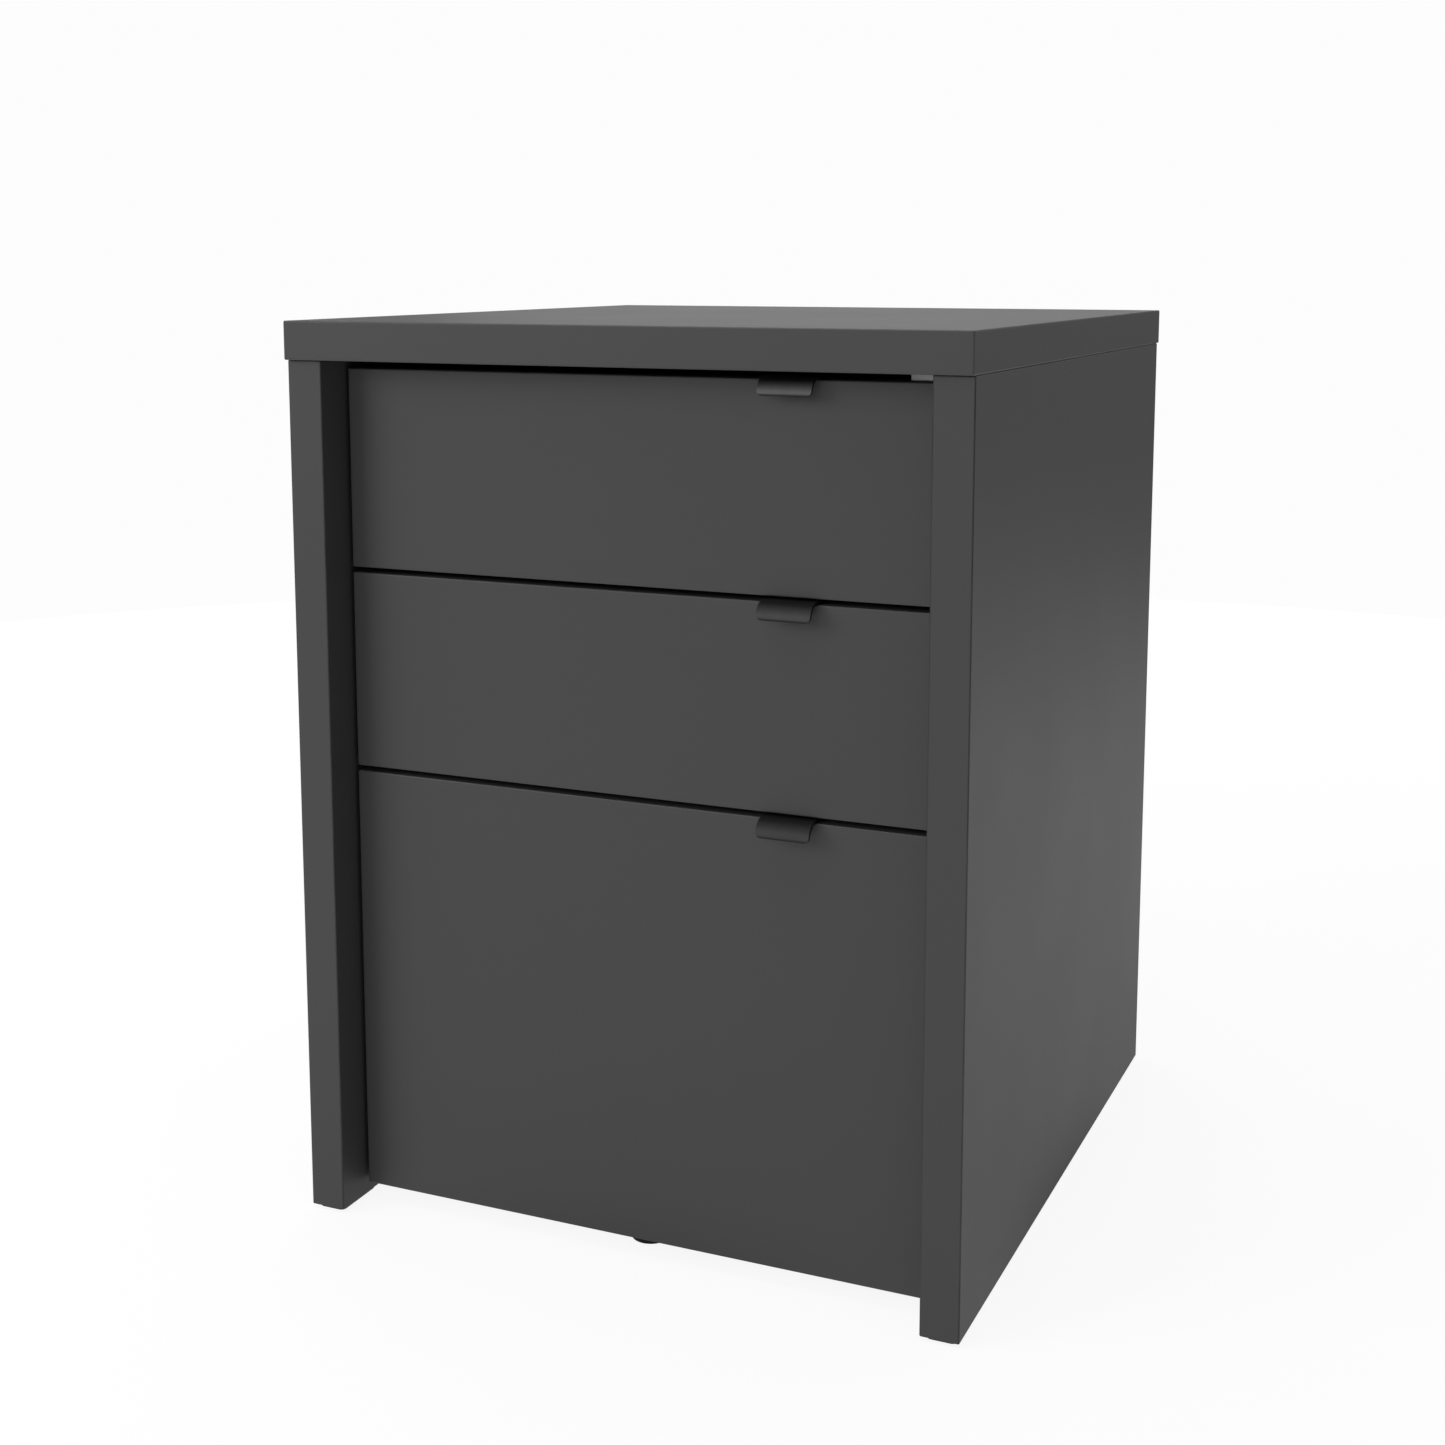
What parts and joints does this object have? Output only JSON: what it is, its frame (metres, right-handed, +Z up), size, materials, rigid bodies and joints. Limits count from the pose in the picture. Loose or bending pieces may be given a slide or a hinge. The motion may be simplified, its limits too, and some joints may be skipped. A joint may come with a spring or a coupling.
{
  "type": "nightstand with drawers",
  "caption": "Floor-standing bedside cabinet with thick slab sides and top, and inset drawers on full-extension runners with small tab handles over their top edges.",
  "frame": {"origin": "on the floor, under the middle of the top board", "axes": "+Z up, the drawers open towards -Y, +X to the right seen from the front"},
  "size_m": [0.457, 0.494, 0.6],
  "materials": {
    "cabinet_laminate": "matt anthracite melamine on board, edges banded",
    "back_board": "matt anthracite faced thin board",
    "box_birch": "clear-lacquered birch plywood",
    "box_floor": "clear-lacquered birch plywood",
    "dowel_beech": "plain beech",
    "handle_coat": "satin anthracite powder coat",
    "zinc_steel": "bright zinc plate",
    "screw_steel": "zinc-plated screws",
    "cam_zinc": "cast zinc",
    "glide_plastic": "black moulded plastic"
  },
  "bodies": {
    "carcass": {"top_panel": "cabinet_laminate", "left_side_panel": "cabinet_laminate", "right_side_panel": "cabinet_laminate", "bottom_panel": "cabinet_laminate", "back_panel": "back_board", "corner_brackets": "zinc_steel", "bracket_screws": "screw_steel", "carcass_dowels": "dowel_beech", "cam_bolts": "screw_steel", "cam_locks": "cam_zinc", "back_screws": "screw_steel", "carcass_rail_screws": "screw_steel", "side_glides": "glide_plastic", "centre_foot": "glide_plastic", "top_left_carcass_rail": "zinc_steel", "top_right_carcass_rail": "zinc_steel", "middle_left_carcass_rail": "zinc_steel", "middle_right_carcass_rail": "zinc_steel", "bottom_left_carcass_rail": "zinc_steel", "bottom_right_carcass_rail": "zinc_steel"},
    "top_drawer": {"top_drawer_front": "cabinet_laminate", "top_drawer_left_side": "box_birch", "top_drawer_right_side": "box_birch", "top_drawer_back": "box_birch", "top_drawer_floor": "box_floor", "top_drawer_dowels": "dowel_beech", "top_drawer_handle": "handle_coat", "top_drawer_handle_screws": "screw_steel", "top_drawer_left_rail": "zinc_steel", "top_drawer_right_rail": "zinc_steel", "top_drawer_rail_screws": "screw_steel"},
    "top_middle_rails": {"top_left_middle_rail": "zinc_steel", "top_right_middle_rail": "zinc_steel"},
    "middle_drawer": {"middle_drawer_front": "cabinet_laminate", "middle_drawer_left_side": "box_birch", "middle_drawer_right_side": "box_birch", "middle_drawer_back": "box_birch", "middle_drawer_floor": "box_floor", "middle_drawer_dowels": "dowel_beech", "middle_drawer_handle": "handle_coat", "middle_drawer_handle_screws": "screw_steel", "middle_drawer_left_rail": "zinc_steel", "middle_drawer_right_rail": "zinc_steel", "middle_drawer_rail_screws": "screw_steel"},
    "middle_middle_rails": {"middle_left_middle_rail": "zinc_steel", "middle_right_middle_rail": "zinc_steel"},
    "bottom_drawer": {"bottom_drawer_front": "cabinet_laminate", "bottom_drawer_left_side": "box_birch", "bottom_drawer_right_side": "box_birch", "bottom_drawer_back": "box_birch", "bottom_drawer_floor": "box_floor", "bottom_drawer_dowels": "dowel_beech", "bottom_drawer_handle": "handle_coat", "bottom_drawer_handle_screws": "screw_steel", "bottom_drawer_left_rail": "zinc_steel", "bottom_drawer_right_rail": "zinc_steel", "bottom_drawer_rail_screws": "screw_steel"},
    "bottom_middle_rails": {"bottom_left_middle_rail": "zinc_steel", "bottom_right_middle_rail": "zinc_steel"}
  },
  "joints": [
    {"name": "top_drawer_slide", "type": "slide", "parent": "carcass", "child": "top_drawer", "axis": [0, -1, 0], "range_m": [0, 0.4]},
    {"name": "top_rails_slide", "type": "slide", "parent": "carcass", "child": "top_middle_rails", "axis": [0, -1, 0], "range_m": [0, 0.2]},
    {"name": "middle_drawer_slide", "type": "slide", "parent": "carcass", "child": "middle_drawer", "axis": [0, -1, 0], "range_m": [0, 0.4]},
    {"name": "middle_rails_slide", "type": "slide", "parent": "carcass", "child": "middle_middle_rails", "axis": [0, -1, 0], "range_m": [0, 0.2]},
    {"name": "bottom_drawer_slide", "type": "slide", "parent": "carcass", "child": "bottom_drawer", "axis": [0, -1, 0], "range_m": [0, 0.4]},
    {"name": "bottom_rails_slide", "type": "slide", "parent": "carcass", "child": "bottom_middle_rails", "axis": [0, -1, 0], "range_m": [0, 0.2]}
  ],
  "couplings": [
    {"joint": "top_rails_slide", "follows": "top_drawer_slide", "ratio": 0.5},
    {"joint": "middle_rails_slide", "follows": "middle_drawer_slide", "ratio": 0.5},
    {"joint": "bottom_rails_slide", "follows": "bottom_drawer_slide", "ratio": 0.5}
  ]
}
